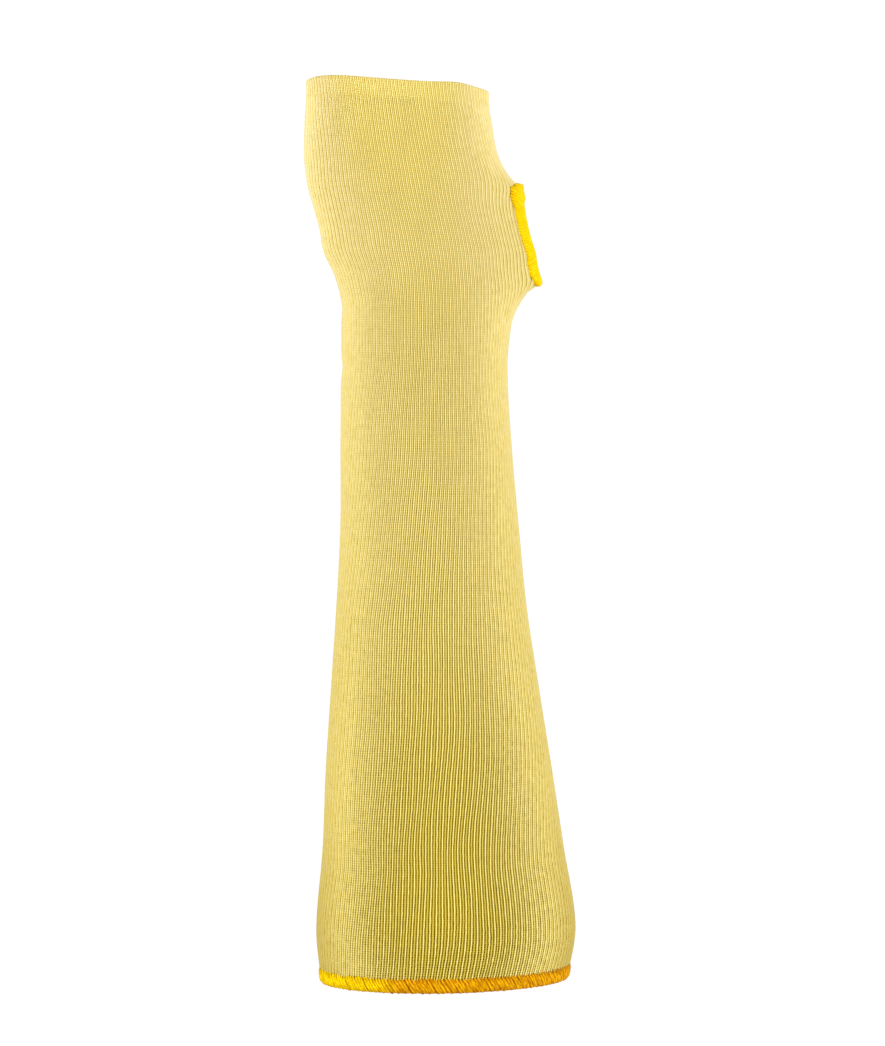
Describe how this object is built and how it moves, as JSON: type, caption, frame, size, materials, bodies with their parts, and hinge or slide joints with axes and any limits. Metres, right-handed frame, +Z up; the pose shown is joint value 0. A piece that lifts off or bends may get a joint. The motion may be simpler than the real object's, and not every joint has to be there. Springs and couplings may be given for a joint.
{
  "type": "cut resistant sleeve with thumb slot",
  "caption": "Knitted cut resistant sleeve for forearm and palm, with an overlocked thumb slot and an overlocked hem at the arm opening.",
  "frame": {"origin": "centre of the arm opening, at the knitted fabric's cut edge", "axes": "+Z runs up the sleeve from the arm opening to the hand opening, +X points to the thumb slot's side and -Y to the front, which the picture shows"},
  "size_m": [0.108, 0.0996, 0.361],
  "materials": {
    "knit": "matt plain knit of pale yellow aramid yarn",
    "edging_thread": "soft lemon yellow overlock thread",
    "hem_thread": "soft golden overlock thread"
  },
  "bodies": {
    "root": {"knit_sleeve": "knit", "thumb_slot_edging": "edging_thread", "arm_opening_hem": "hem_thread"}
  },
  "joints": []
}
